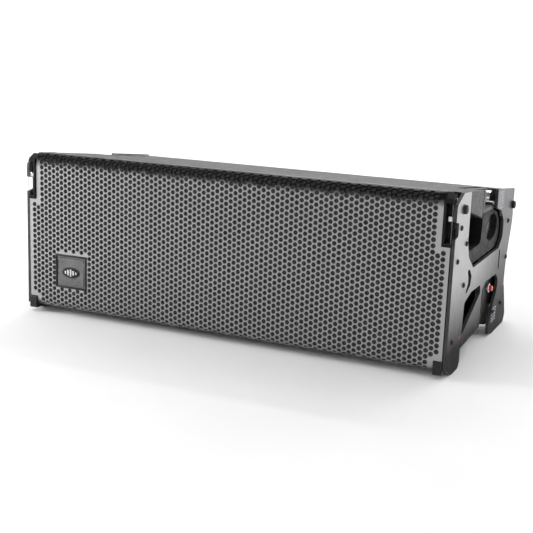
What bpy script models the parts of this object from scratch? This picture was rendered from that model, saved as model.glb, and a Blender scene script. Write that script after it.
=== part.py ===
"""Line array speaker module: a powered two-way cabinet with flush rigging on both sides.

Frame: +X to the right as seen from the front, +Y towards the back, +Z up, metres. The origin is
the centre of the overall box on the plane that the module stands on. Side shapes are drawn as
(depth, height): depth is measured back from the front plane, height up from the standing plane.
"""
import math

import bmesh
import bpy
from mathutils import Vector
from mathutils.geometry import tessellate_polygon

# Driving dimensions
FRAME_WIDTH = 0.884         # over the outer faces of the two rigging frames
OVERALL_DEPTH = 0.467       # from the front plane to the rear edge of the rigging frames
PLATE = 0.006               # rigging frame steel
GAP = 0.0003                # clearance between pieces that touch
WALL = 0.015                # cabinet plywood
TOP_FRONT = 0.329           # cabinet top edge at the front
TOP_REAR = 0.285            # cabinet top edge at the back
SKIRT_LOW = 0.012           # lower edge of the cabinet's front frame
BELLY_FRONT = 0.032         # underside of the body behind the front frame
BELLY_REAR = 0.056          # underside of the body at the back
SKIRT_DEPTH = 0.060         # depth of the taller front frame
CABINET_FRONT = 0.0215      # depth of the cabinet's front edge
CABINET_REAR = 0.432        # depth of the cabinet's rear face
ROLL = 0.018                # radius of the grille's rolled top and bottom edges
SHEET = 0.0015              # grille steel
POCKET = 0.055              # depth of the side pockets behind the rigging frames
CUP_WALL = 0.003            # moulded tray in each pocket
LINK_REST_TOP = 0.292       # top of the lowered rear link
FRONT_LINK_TOP = 0.316      # top of the lowered front link
FRONT_TRAVEL = 0.032        # rise of the front link, set by the notch its plunger runs in
ARC_STEPS = 3               # segments in each rounded corner
ROUND = 20                  # segments around a turned piece

PLATE_OUT = FRAME_WIDTH / 2
PLATE_IN = PLATE_OUT - PLATE
SIDE = PLATE_IN - GAP       # outer face of the cabinet's side walls
SIDES = (("left", -1), ("right", 1))

# Depths and heights of the working pieces
LINK_DEPTH = (0.314, 0.362)
LINK_X = (0.4110, 0.4230)
CHANNEL_DEPTH = (0.224, 0.372)
BOLT_FRONT = (0.049, 0.295)
BOLT_REAR = (0.452, 0.251)
PIN_AT = (0.338, 0.096)
FRONT_LINK_DEPTH = (0.0205, 0.0395)
PLUNGER_AT = (0.4305, 0.283)   # x and height
WOOFER_X = 0.270
WOOFER_H = 0.1770
HORN_H = 0.1770
BAFFLE = (0.045, 0.063)
PANEL_DEPTH = 0.430
PANEL_H = (0.078, 0.262)
PANEL_HALF = 0.270
FINS = 23


def clear_scene():
    for obj in list(bpy.data.objects):
        bpy.data.objects.remove(obj, do_unlink=True)


def make_material(name, color, roughness, metallic=0.0):
    material = bpy.data.materials.new(name)
    material.use_nodes = True
    shader = material.node_tree.nodes["Principled BSDF"]
    shader.inputs["Base Color"].default_value = (*color, 1.0)
    shader.inputs["Roughness"].default_value = roughness
    shader.inputs["Metallic"].default_value = metallic
    return material


def top_line(depth):
    """Height of the cabinet's sloping top at a depth."""
    return TOP_FRONT + (TOP_REAR - TOP_FRONT) * depth / CABINET_REAR


def belly_line(depth):
    """Height of the cabinet's sloping underside at a depth behind the front frame."""
    slope = (BELLY_REAR - BELLY_FRONT) / (CABINET_REAR - SKIRT_DEPTH)
    return BELLY_FRONT + slope * (depth - SKIRT_DEPTH)


def world(depth):
    """World y of a depth behind the front plane."""
    return depth - OVERALL_DEPTH / 2


# Outlines


def rounded(corners):
    """Turns (a, b, radius) corners into a list of points, each radius an arc."""
    points = []
    count = len(corners)
    for i, (a, b, radius) in enumerate(corners):
        here = Vector((a, b))
        if radius == 0:
            points.append((a, b))
            continue
        before = Vector(corners[i - 1][:2]) - here
        after = Vector(corners[(i + 1) % count][:2]) - here
        half = before.angle(after) / 2
        reach = radius / math.tan(half)
        start = here + before.normalized() * reach
        end = here + after.normalized() * reach
        centre = here + (before.normalized() + after.normalized()).normalized() * radius / math.sin(half)
        first = math.atan2(*(start - centre).yx)
        sweep = math.atan2(*(end - centre).yx) - first
        sweep = (sweep + math.pi) % (2 * math.pi) - math.pi
        for step in range(ARC_STEPS + 1):
            angle = first + sweep * step / ARC_STEPS
            points.append((centre.x + radius * math.cos(angle), centre.y + radius * math.sin(angle)))
    return points


def rectangle(a_low, a_high, b_low, b_high, radius=0.0):
    return rounded([(a_low, b_low, radius), (a_high, b_low, radius),
                    (a_high, b_high, radius), (a_low, b_high, radius)])


def oval(a, b, a_half, b_half, steps=ROUND):
    turn = 2 * math.pi / steps
    return [(a + a_half * math.cos(i * turn), b + b_half * math.sin(i * turn)) for i in range(steps)]


# Solids


def finish(name, bm, material, smooth=False):
    """Makes the object from a closed bmesh, with its faces pointing out."""
    bmesh.ops.recalc_face_normals(bm, faces=bm.faces)
    mesh = bpy.data.meshes.new(name)
    bm.to_mesh(mesh)
    bm.free()
    mesh.materials.append(material)
    if smooth:
        mesh.shade_smooth()
        mesh.set_sharp_from_angle(angle=math.radians(35))
    obj = bpy.data.objects.new(name, mesh)
    bpy.context.collection.objects.link(obj)
    return obj


def to_axis(axis, a, b, t):
    """X takes (depth, height) outlines, Y takes (x, height) ones and Z takes (x, depth) ones."""
    if axis == "X":
        return (t, world(a), b)
    if axis == "Y":
        return (a, world(t), b)
    return (a, world(b), t)


def prism(name, material, axis, outline, low, high, holes=()):
    """An outline with holes, extruded from low to high along an axis."""
    bm = bmesh.new()
    loops = [list(outline)] + [list(hole) for hole in holes]
    flat = [[Vector((a, b, 0.0)) for a, b in loop] for loop in loops]
    faces = tessellate_polygon(flat)
    ends = []
    for level in (low, high):
        ends.append([bm.verts.new(to_axis(axis, a, b, level)) for loop in loops for a, b in loop])
    for end in ends:
        for face in faces:
            bm.faces.new([end[i] for i in face])
    start = 0
    for loop in loops:
        count = len(loop)
        for i in range(count):
            j = start + i
            k = start + (i + 1) % count
            bm.faces.new((ends[0][j], ends[0][k], ends[1][k], ends[1][j]))
        start += count
    return finish(name, bm, material)


def loft(name, material, loops, smooth=True):
    """Skins equal loops in turn and closes the last one back onto the first."""
    bm = bmesh.new()
    rings = [[bm.verts.new(point) for point in loop] for loop in loops]
    for ring, following in zip(rings, rings[1:] + rings[:1]):
        count = len(ring)
        for i in range(count):
            j = (i + 1) % count
            bm.faces.new((ring[i], ring[j], following[j], following[i]))
    return finish(name, bm, material, smooth)


def turned(name, material, axis, centre, profile, steps=ROUND):
    """Turns (radius, along) points about an axis; a profile may start and end on the axis."""
    bm = bmesh.new()
    directions = {"X": (Vector((0, 1, 0)), Vector((0, 0, 1)), Vector((1, 0, 0))),
                  "Y": (Vector((0, 0, 1)), Vector((1, 0, 0)), Vector((0, 1, 0))),
                  "Z": (Vector((1, 0, 0)), Vector((0, 1, 0)), Vector((0, 0, 1)))}
    side, up, along = directions[axis]
    base = Vector(centre)
    rings = []
    for radius, travel in profile:
        middle = base + along * travel
        if radius == 0:
            rings.append([bm.verts.new(middle)])
            continue
        turn = 2 * math.pi / steps
        rings.append([bm.verts.new(middle + radius * (side * math.cos(i * turn) + up * math.sin(i * turn)))
                      for i in range(steps)])
    pairs = list(zip(rings, rings[1:]))
    if len(rings[0]) > 1:
        pairs.append((rings[-1], rings[0]))
    for ring, following in pairs:
        for i in range(steps):
            j = (i + 1) % steps
            corners = [ring[i % len(ring)], ring[j % len(ring)],
                       following[j % len(following)], following[i % len(following)]]
            bm.faces.new(list(dict.fromkeys(corners)))
    return finish(name, bm, material, smooth=True)


def combine(obj, tool, operation="DIFFERENCE"):
    """Cuts a tool out of an object or joins it on, and removes the tool."""
    modifier = obj.modifiers.new("combine", "BOOLEAN")
    modifier.operation = operation
    modifier.solver = "EXACT"
    modifier.object = tool
    graph = bpy.context.evaluated_depsgraph_get()
    mesh = bpy.data.meshes.new_from_object(obj.evaluated_get(graph))
    obj.modifiers.clear()
    obj.data = mesh
    bpy.data.objects.remove(tool, do_unlink=True)
    return obj


def block(material, x_span, depth_span, height_span, name="tool"):
    return prism(name, material, "Y", rectangle(*x_span, *height_span), *depth_span)


def span(sign, near, far):
    """An x range on one side of the module, low end first."""
    return (near, far) if sign > 0 else (-far, -near)


def set_origin(obj, point):
    """Moves an object's origin to a point and leaves the shape where it is."""
    for vertex in obj.data.vertices:
        vertex.co -= Vector(point)
    obj.location = point


# Cabinet and front


def pocket_outline(inset):
    """The opening in a side wall that holds the handle cup, smaller all round by inset."""
    front = 0.080 + inset
    back = 0.404 - inset
    channel = (CHANNEL_DEPTH[0] - 0.006 + inset, CHANNEL_DEPTH[1] + 0.006 - inset)
    socket = (0.232 + inset, 0.382 - inset)
    above = TOP_FRONT + 0.02
    return [(front, 0.054 + inset), (socket[0], 0.062 + inset), (socket[0], -0.02), (socket[1], -0.02),
            (socket[1], 0.070 + inset), (back, 0.072 + inset), (back, 0.262 - inset),
            (channel[1], 0.266 - inset), (channel[1], above), (channel[0], above),
            (channel[0], 0.256 - inset), (front, 0.290 - inset)]


def body_outline(inset, front):
    """The cabinet's side view, smaller at the top, the underside and the back by inset."""
    step = SKIRT_DEPTH - inset
    back = CABINET_REAR - inset
    return [(front, SKIRT_LOW + inset), (step, SKIRT_LOW + inset), (step, belly_line(step) + inset),
            (back, belly_line(back) + inset), (back, top_line(back) - inset),
            (front, top_line(front) - inset)]


def build_cabinet(paint):
    shell = prism("cabinet_shell", paint, "X", body_outline(0.0, CABINET_FRONT), -SIDE, SIDE)
    inner = body_outline(WALL, CABINET_FRONT - 0.02)
    combine(shell, prism("tool", paint, "X", inner, -SIDE + WALL, SIDE - WALL))
    ledge = 0.012
    window = block(paint, (-PANEL_HALF + ledge, PANEL_HALF - ledge), (0.40, 0.45),
                   (PANEL_H[0] + ledge, PANEL_H[1] - ledge))
    combine(shell, window)
    rebate = block(paint, (-PANEL_HALF - GAP, PANEL_HALF + GAP), (PANEL_DEPTH - 0.006, 0.45),
                   (PANEL_H[0] - GAP, PANEL_H[1] + GAP))
    combine(shell, rebate)
    for _, sign in SIDES:
        pocket = span(sign, SIDE - POCKET, SIDE + 0.01)
        combine(shell, prism("tool", paint, "X", pocket_outline(0.0), *pocket))
        corner = block(paint, span(sign, 0.4185, SIDE + 0.01), (0.0, 0.0460), (0.2343, TOP_FRONT + 0.01))
        combine(shell, corner)
        foot = block(paint, span(sign, 0.4185, SIDE + 0.01), (0.0, 0.0460), (0.0, 0.0345))
        combine(shell, foot)
    return shell


def build_baffle(wood):
    low = belly_line(BAFFLE[1]) + WALL + GAP
    high = top_line(BAFFLE[1]) - WALL - GAP
    edge = SIDE - WALL - GAP
    holes = [oval(sign * WOOFER_X, WOOFER_H, 0.1155, 0.1155) for _, sign in SIDES]
    holes.append(rectangle(-0.0905, 0.0905, HORN_H - 0.1205, HORN_H + 0.1205))
    return prism("baffle_board", wood, "Y", rectangle(-edge, edge, low, high), *BAFFLE, holes=holes)


def build_braces(wood):
    for name, sign in SIDES:
        front, back = BAFFLE[1] + GAP, 0.340
        outline = [(front, belly_line(front) + WALL + GAP), (back, belly_line(back) + WALL + GAP),
                   (back, top_line(back) - WALL - GAP), (front, top_line(front) - WALL - GAP)]
        window = rectangle(0.200, 0.320, 0.110, 0.240, 0.015)
        prism("brace_" + name, wood, "X", outline, *span(sign, 0.120, 0.132), holes=[window])


def sheet_profile(offset, thickness):
    """A flat sheet whose top and bottom roll back through a quarter turn."""
    low = SKIRT_LOW + 0.001
    high = TOP_FRONT - 0.0012
    front = 0.003
    outer = []
    inner = []
    for start, middle in ((1.5, low + ROLL), (1.0, high - ROLL)):
        for step in range(7):
            angle = math.pi * (start - step / 12)
            direction = (math.cos(angle), math.sin(angle))
            for points, radius in ((outer, ROLL - offset), (inner, ROLL - offset - thickness)):
                points.append((front + ROLL + radius * direction[0], middle + radius * direction[1]))
    return outer + inner[::-1]


def build_grille(steel, foam):
    half = PLATE_IN - 0.0015
    grille = prism("front_grille", steel, "X", sheet_profile(0.0, SHEET), -half, half)
    for _, sign in SIDES:
        combine(grille, block(steel, span(sign, 0.4190, 0.45), (-0.01, 0.05), (0.2345, 0.34)))
        combine(grille, block(steel, span(sign, 0.4190, 0.45), (-0.01, 0.05), (0.0, 0.0342)))
    badge = block(steel, (-0.3700, -0.3004), (-0.01, 0.05), (0.0620, 0.1260))
    combine(grille, badge)
    backing = prism("grille_foam", foam, "X", sheet_profile(SHEET + GAP, 0.005), -0.4175, 0.4175)
    combine(backing, block(foam, (-0.3700, -0.3004), (-0.01, 0.05), (0.0620, 0.1260)))
    return grille


def build_badge(plastic):
    """A framed tile in the grille; its five raised bars are a plain level-meter motif."""
    middle = (-0.3352, 0.0940)
    half = (0.0345, 0.0317)
    tile = prism("badge_plate", plastic, "Y", rectangle(middle[0] - half[0], middle[0] + half[0],
                 middle[1] - half[1], middle[1] + half[1], 0.003), 0.0035, 0.0105)
    face = rectangle(middle[0] - half[0] + 0.004, middle[0] + half[0] - 0.004,
                     middle[1] - half[1] + 0.004, middle[1] + half[1] - 0.004, 0.002)
    combine(tile, prism("tool", plastic, "Y", face, 0.0, 0.0060))
    for i, height in enumerate((0.010, 0.018, 0.024, 0.016, 0.008)):
        x = middle[0] + (i - 2) * 0.0085
        bar = block(plastic, (x - 0.0025, x + 0.0025), (0.0045, 0.0070),
                    (middle[1] - height / 2, middle[1] + height / 2))
        combine(tile, bar, "UNION")
    return tile


def build_corners(plastic):
    """Guards over the top corners, open for the front links, and receivers at the feet."""
    for name, sign in SIDES:
        outline = rounded([(0.0, 0.2346, 0.004), (0.0445, 0.2346, 0.0), (0.0445, top_line(0.0445), 0.0),
                           (0.0215, top_line(0.0215), 0.004), (0.0, 0.3150, 0.010)])
        guard = prism("corner_guard_" + name, plastic, "X", outline, *span(sign, 0.4193, SIDE))
        combine(guard, block(plastic, span(sign, 0.4235, SIDE + 0.01), (-0.01, 0.0155), (0.2420, 0.3100)))
        combine(guard, block(plastic, span(sign, 0.4255, SIDE + 0.01), (0.0190, 0.0410), (0.2420, 0.34)))
        bore = oval(sign * PLUNGER_AT[0], PLUNGER_AT[1], 0.0026, 0.0026, 14)
        combine(guard, prism("tool", plastic, "Y", bore, 0.010, 0.025))
        outline = rounded([(0.0, 0.0085, 0.003), (0.0445, 0.0085, 0.0), (0.0445, 0.0340, 0.0),
                           (0.0, 0.0340, 0.003)])
        receiver = prism("corner_block_" + name, plastic, "X", outline, *span(sign, 0.4193, SIDE))
        combine(receiver, block(plastic, span(sign, 0.4255, SIDE + 0.01), (0.0190, 0.0410), (0.0, 0.0280)))


# Rigging


def frame_outline():
    """The steel side frame: front strip, middle rail, diagonal gusset and rear plate in one sheet."""
    return rounded([
        (0.004, 0.018, 0.004), (0.044, 0.000, 0.006), (0.088, 0.000, 0.008), (0.097, 0.012, 0.006),
        (0.094, 0.035, 0.002), (0.234, 0.042, 0.003), (0.237, 0.116, 0.010), (0.262, 0.126, 0.012),
        (0.350, 0.124, 0.012), (0.374, 0.106, 0.008), (0.366, 0.084, 0.012), (0.330, 0.048, 0.012),
        (0.319, 0.030, 0.006), (0.321, 0.006, 0.004), (0.350, 0.000, 0.006), (0.456, 0.000, 0.006),
        (0.467, 0.016, 0.006), (0.448, 0.062, 0.020), (0.431, 0.096, 0.020), (0.437, 0.140, 0.030),
        (0.467, 0.216, 0.020), (0.465, 0.2835, 0.003), (0.3125, 0.299, 0.002), (0.3125, 0.262, 0.004),
        (0.352, 0.252, 0.020), (0.381, 0.228, 0.018), (0.382, 0.196, 0.015), (0.352, 0.176, 0.006),
        (0.150, 0.174, 0.012), (0.110, 0.200, 0.020), (0.095, 0.232, 0.015), (0.095, 0.3200, 0.002),
        (0.046, 0.3235, 0.006), (0.004, 0.3060, 0.008), (0.004, 0.278, 0.001), (0.022, 0.275, 0.002),
        (0.022, 0.252, 0.002), (0.004, 0.249, 0.001)])


def frame_openings():
    front_window = rounded([(0.103, 0.118, 0.006), (0.097, 0.062, 0.003), (0.104, 0.060, 0.002),
                            (0.224, 0.112, 0.006), (0.218, 0.128, 0.006), (0.150, 0.129, 0.010)])
    front_slot = rounded([(0.108, 0.176, 0.003), (0.124, 0.176, 0.004), (0.142, 0.160, 0.004),
                          (0.136, 0.144, 0.004), (0.114, 0.134, 0.003), (0.103, 0.135, 0.003),
                          (0.119, 0.150, 0.003), (0.119, 0.162, 0.003)])
    rear_slot = rectangle(0.362, 0.371, 0.130, 0.171, 0.004)
    return [front_window, front_slot, rear_slot]


def frame_bolts(sign, name, steel):
    """The two large bolts that carry the link guides, each through its own clearance hole."""
    for place, depth, height in (("front", *BOLT_FRONT), ("rear", *BOLT_REAR)):
        head = [(0.0, 0.0072), (0.0050, 0.0072), (0.0062, 0.0062), (0.0080, 0.0058), (0.0080, 0.0010),
                (0.0090, 0.0006), (0.0090, GAP), (0.0037, GAP), (0.0037, -PLATE - GAP), (0.0, -PLATE - GAP)]
        profile = [(radius, sign * along) for radius, along in head]
        centre = (sign * PLATE_OUT, world(depth), height)
        bolt = turned("frame_bolt_" + place + "_" + name, steel, "X", centre, profile, 16)
        set_origin(bolt, centre)


def build_frames(steel, black_steel):
    for name, sign in SIDES:
        holes = frame_openings()
        holes += [oval(*BOLT_FRONT, 0.0042, 0.0042, 16), oval(*BOLT_REAR, 0.0042, 0.0042, 16)]
        plate = span(sign, PLATE_IN, PLATE_OUT)
        prism("rigging_frame_" + name, steel, "X", frame_outline(), *plate, holes=holes)
        frame_bolts(sign, name, black_steel)


def build_cups(plastic):
    """Moulded trays that line the side pockets, open at the top over the link channel."""
    for name, sign in SIDES:
        outer = span(sign, SIDE - POCKET + GAP, SIDE - 0.0005)
        inner = span(sign, SIDE - POCKET + CUP_WALL, SIDE + 0.01)
        cup = prism("side_cup_" + name, plastic, "X", pocket_outline(GAP), *outer)
        combine(cup, prism("tool", plastic, "X", pocket_outline(CUP_WALL), *inner))
        above = [(0.15, top_line(0.15)), (0.39, top_line(0.39)), (0.39, 0.4), (0.15, 0.4)]
        combine(cup, prism("tool", plastic, "X", above, *span(sign, 0.3, 0.5)))
        below = [(0.20, belly_line(0.20)), (0.20, -0.1), (0.41, -0.1), (0.41, belly_line(0.41))]
        combine(cup, prism("tool", plastic, "X", below, *span(sign, 0.3, 0.5)))


def grip_outline():
    return rounded([(0.100, 0.196, 0.006), (0.118, 0.1762, 0.006), (0.352, 0.1782, 0.015),
                    (0.378, 0.197, 0.015), (0.377, 0.226, 0.018), (0.350, 0.249, 0.015),
                    (0.309, 0.260, 0.003), (0.228, 0.260, 0.006), (0.226, 0.206, 0.015),
                    (0.108, 0.204, 0.006)])


def build_grips(rubber):
    """Carrying grips: a bar along the middle rail that widens into a ring beside the rear link."""
    hole = oval(0.310, 0.2245, 0.043, 0.0265, 28)
    for name, sign in SIDES:
        thickness = span(sign, 0.4100, 0.4345)
        grip = prism("handle_grip_" + name, rubber, "X", grip_outline(), *thickness, holes=[hole])
        combine(grip, block(rubber, span(sign, 0.40, LINK_X[1] + 0.0006), (0.2900, 0.39), (0.17, 0.27)))


def build_channels(black_steel):
    """U channels that guide the rear links, each with a stop bar across its mouth."""
    low = 0.2615
    front, back = CHANNEL_DEPTH
    for name, sign in SIDES:
        outline = [(front, low), (back - GAP, low), (back - GAP, top_line(back)), (front, top_line(front))]
        channel = prism("link_channel_" + name, black_steel, "X", outline, *span(sign, 0.3975, SIDE - 0.0006))
        passage = (front + 0.012, back - 0.006)
        combine(channel, block(black_steel, span(sign, 0.4095, SIDE + 0.01), passage, (0.2685, 0.34)))
        well = block(black_steel, span(sign, LINK_X[0] - 0.0006, LINK_X[1] + 0.0006),
                     (LINK_DEPTH[0] - 0.0006, LINK_DEPTH[1] + 0.0006), (0.2, 0.3))
        combine(channel, well)


def build_links(steel):
    """The rear and front link bars, lowered into the module."""
    for name, sign in SIDES:
        front, back = LINK_DEPTH
        middle = (front + back) / 2
        crown = (back - front) / 2
        centre = LINK_REST_TOP - crown
        steps = 12
        turns = [math.pi * i / steps for i in range(steps + 1)]
        arch = [(middle + crown * math.cos(turn), centre + crown * math.sin(turn)) for turn in turns]
        outline = [(front, 0.142), (back, 0.142)] + arch
        eye = oval(middle, centre, 0.0055, 0.0055, 20)
        splay = [oval(middle, 0.168 + 0.016 * i, 0.0045, 0.0045, 16) for i in range(5)]
        prism("rear_link_" + name, steel, "X", outline, *span(sign, *LINK_X), holes=[eye] + splay)
        front, back = FRONT_LINK_DEPTH
        middle = (front + back) / 2
        notch = 0.0310
        notch_low = PLUNGER_AT[1] - FRONT_TRAVEL - 0.0032
        notch_high = PLUNGER_AT[1] + 0.0032
        outline = rounded([(front, 0.2440, 0.001), (back, 0.2440, 0.001), (back, FRONT_LINK_TOP, 0.006),
                           (front, FRONT_LINK_TOP, 0.006), (front, notch_high, 0.0), (notch, notch_high, 0.0),
                           (notch, notch_low, 0.0), (front, notch_low, 0.0)])
        eye = oval(middle, FRONT_LINK_TOP - 0.010, 0.0042, 0.0042, 16)
        prism("front_link_" + name, steel, "X", outline, *span(sign, 0.4265, 0.4345), holes=[eye])


def build_receivers(plastic):
    """Sockets for the rear link of the module below, with a cross bore for the release pin."""
    depth, height = PIN_AT
    for name, sign in SIDES:
        outline = rounded([(0.240, 0.0560, 0.004), (0.240, 0.032, 0.004), (0.262, 0.032, 0.004),
                           (0.266, 0.038, 0.002), (0.345, 0.018, 0.004), (0.376, 0.018, 0.004),
                           (0.376, 0.1220, 0.010), (0.244, 0.1240, 0.010)])
        receiver = prism("link_receiver_" + name, plastic, "X", outline, *span(sign, 0.3845, 0.4285))
        socket_width = span(sign, LINK_X[0] - 0.0015, LINK_X[1] + 0.0015)
        socket_depth = (LINK_DEPTH[0] - 0.005, LINK_DEPTH[1] + 0.005)
        combine(receiver, block(plastic, socket_width, socket_depth, (0.0, 0.1130)))
        bore = prism("tool", plastic, "X", oval(depth, height, 0.0055, 0.0055, 20), *span(sign, 0.3875, 0.45))
        combine(receiver, bore)


def build_release_pins(steel, red):
    depth, height = PIN_AT
    for name, sign in SIDES:
        centre = (sign * 0.4285, world(depth), height)
        shank = [(0.0, -0.0400), (0.0030, -0.0400), (0.0050, -0.0370), (0.0050, GAP), (0.0095, GAP),
                 (0.0095, 0.0045), (0.0085, 0.0055), (0.0062, 0.0055), (0.0062, 0.0020), (0.0, 0.0020)]
        pin = turned("release_pin_" + name, steel, "X", centre, [(r, sign * t) for r, t in shank], 16)
        set_origin(pin, centre)
        cap = [(0.0, 0.0052), (0.0058, 0.0052), (0.0058, 0.0100), (0.0046, 0.0114), (0.0, 0.0118)]
        button = turned("pin_button_" + name, red, "X", centre, [(r, sign * t) for r, t in cap], 16)
        set_origin(button, centre)


def build_plungers(steel):
    """Sprung plungers in the corner guards that hold the front links."""
    x, height = PLUNGER_AT
    for name, sign in SIDES:
        centre = (sign * x, world(0.0155), height)
        body = [(0.0, -0.0100), (0.0030, -0.0100), (0.0036, -0.0094), (0.0036, -0.0030), (0.0022, -0.0026),
                (0.0022, 0.0130), (0.0015, 0.0140), (0.0, 0.0140)]
        plunger = turned("front_plunger_" + name, steel, "Y", centre, body, 14)
        set_origin(plunger, centre)


# Loudspeakers


def build_woofers(metal, paper, rubber, magnet_steel):
    for name, sign in SIDES:
        centre = (sign * WOOFER_X, world(BAFFLE[0]), WOOFER_H)
        basket = [(0.1290, -0.0045), (0.1290, -GAP), (0.1145, -GAP), (0.1120, 0.0100), (0.0880, 0.0420),
                  (0.0700, 0.0580), (0.0250, 0.0580), (0.0250, 0.0560), (0.0680, 0.0560), (0.0860, 0.0390),
                  (0.1090, 0.0080), (0.1110, -0.0020), (0.1110, -0.0045)]
        turned("woofer_basket_" + name, metal, "Y", centre, basket)
        roll = [(0.1105, -0.0040)]
        bulge = 0.0060
        for i in range(7):
            angle = math.pi * i / 6
            roll.append((0.1030 + bulge * math.cos(angle), -0.0040 - bulge * math.sin(angle)))
        roll += [(0.0955, -0.0040), (0.0955, -0.0025), (0.1105, -0.0025)]
        turned("woofer_surround_" + name, rubber, "Y", centre, roll)
        cone = [(0.0, 0.0140), (0.0200, 0.0170), (0.0310, 0.0245), (0.0950, -0.0035), (0.0952, -0.0022),
                (0.0315, 0.0275), (0.0235, 0.0280), (0.0235, 0.0620), (0.0228, 0.0620), (0.0228, 0.0215),
                (0.0200, 0.0195), (0.0, 0.0165)]
        body = turned("woofer_cone_" + name, paper, "Y", centre, cone)
        set_origin(body, centre)
        magnet = [(0.0, 0.0500), (0.0215, 0.0500), (0.0215, 0.0680), (0.0250, 0.0680), (0.0250, 0.0583),
                  (0.0780, 0.0583), (0.0780, 0.0980), (0.0, 0.0980)]
        turned("woofer_magnet_" + name, magnet_steel, "Y", centre, magnet)


def build_high_unit(horn_plastic, magnet_steel):
    """Waveguide with a narrow tall throat, and two compression drivers on its back plate."""
    middle = HORN_H
    outside = ((0.0447, 0.1000, 0.1270), (0.0447, 0.0900, 0.1200), (0.0634, 0.0900, 0.1200),
               (0.0900, 0.0560, 0.1180), (0.1300, 0.0320, 0.1120), (0.1800, 0.0220, 0.1080))
    inside = ((0.1800, 0.0120, 0.0980), (0.1300, 0.0250, 0.1050), (0.0900, 0.0480, 0.1110),
              (0.0600, 0.0800, 0.1150), (0.0400, 0.0880, 0.1180), (0.0400, 0.1000, 0.1270))
    loops = []
    for depth, half_x, half_z in outside + inside:
        corners = rectangle(-half_x, half_x, middle - half_z, middle + half_z)
        loops.append([(x, world(depth), z) for x, z in corners])
    loft("hf_waveguide", horn_plastic, loops, smooth=False)
    for place, offset in (("upper", 0.057), ("lower", -0.057)):
        body = [(0.0, 0.0100), (0.0120, 0.0100), (0.0120, GAP), (0.0450, GAP), (0.0520, 0.0080),
                (0.0520, 0.0420), (0.0440, 0.0500), (0.0, 0.0500)]
        turned("compression_driver_" + place, magnet_steel, "Y", (0.0, world(0.1800), middle + offset), body)


# Amplifier


def build_amplifier(aluminium, board_green, copper):
    panel = block(aluminium, (-PANEL_HALF, PANEL_HALF), (PANEL_DEPTH - 0.0057, PANEL_DEPTH - 0.0020), PANEL_H,
                  name="amp_panel")
    for x, height, radius in ((-0.225, 0.118, 0.0125), (-0.180, 0.118, 0.0125), (-0.225, 0.205, 0.0125),
                              (-0.180, 0.205, 0.0125), (-0.130, 0.215, 0.0034), (-0.130, 0.150, 0.0044)):
        bore = oval(x, height, radius, radius, 24)
        combine(panel, prism("tool", aluminium, "Y", bore, 0.40, 0.45))
    combine(panel, block(aluminium, (-0.1380, -0.1220), (0.40, 0.45), (0.1040, 0.1300)))
    first, last = -0.090, 0.255
    base, root, tip = 0.4283, 0.4340, 0.4560
    fins = [(first, base), (last, base)]
    pitch = (last - first) / FINS
    for i in reversed(range(FINS)):
        left = first + i * pitch
        fins += [(left + 0.009, root), (left + 0.0085, tip), (left + 0.0055, tip), (left + 0.005, root)]
    prism("heatsink", aluminium, "Z", fins, 0.0900, 0.2500)
    block(board_green, (-0.240, 0.240), (0.3900, 0.3920), (0.1050, 0.2350), name="circuit_board")
    ring = [(0.0180, -0.0200), (0.0520, -0.0200), (0.0520, 0.0200), (0.0180, 0.0200)]
    profile = [(r, t - 0.0005) for r, t in ring]
    turned("power_transformer", copper, "Y", (0.10, world(0.3690), 0.1700), profile)


def build_connectors(blue, grey, black):
    """Round chassis sockets in the panel, each with a keyed mouth."""
    places = (("power_inlet", -0.225, 0.118, blue), ("power_outlet", -0.180, 0.118, grey),
              ("signal_input", -0.225, 0.205, black), ("signal_output", -0.180, 0.205, black))
    for name, x, height, material in places:
        profile = [(0.0, -0.0300), (0.0120, -0.0300), (0.0120, -0.0017), (0.0155, -0.0017), (0.0155, 0.0010),
                   (0.0130, 0.0030), (0.0098, 0.0030), (0.0098, -0.0200), (0.0, -0.0200)]
        turned(name, material, "Y", (x, world(PANEL_DEPTH), height), profile, 18)


def build_controls(plastic, lens_plastic):
    """Level knob, power rocker, preset button and status lens on the panel."""
    centre = (-0.130, world(PANEL_DEPTH), 0.150)
    knob = [(0.0, 0.0130), (0.0070, 0.0130), (0.0080, 0.0120), (0.0090, -0.0015), (0.0040, -0.0015),
            (0.0040, -0.0150), (0.0, -0.0150)]
    body = turned("level_knob", plastic, "Y", centre, knob, 20)
    mark_depth = (PANEL_DEPTH + 0.0115, PANEL_DEPTH + 0.02)
    mark = block(plastic, (centre[0] - 0.0008, centre[0] + 0.0008), mark_depth,
                 (centre[2], centre[2] + 0.012))
    combine(body, mark)
    set_origin(body, centre)
    pivot = (-0.130, world(0.4240), 0.117)
    rocker = [(0.4200, 0.1075), (0.4300, 0.1068), (0.4322, 0.1100), (0.4300, 0.1170), (0.4306, 0.1272),
              (0.4200, 0.1265)]
    switch = prism("power_switch", plastic, "X", rocker, -0.1372, -0.1228)
    set_origin(switch, pivot)
    centre = (-0.130, world(PANEL_DEPTH), 0.215)
    stem = [(0.0, 0.0030), (0.0026, 0.0030), (0.0030, 0.0024), (0.0030, -0.0100), (0.0, -0.0100)]
    button = turned("preset_button", plastic, "Y", centre, stem, 16)
    set_origin(button, centre)
    lens = [(0.0, 0.0010), (0.0016, 0.0006), (0.0022, -0.0017), (0.0, -0.0017)]
    turned("status_lens", lens_plastic, "Y", (-0.130, world(PANEL_DEPTH), 0.235), lens, 16)


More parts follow.
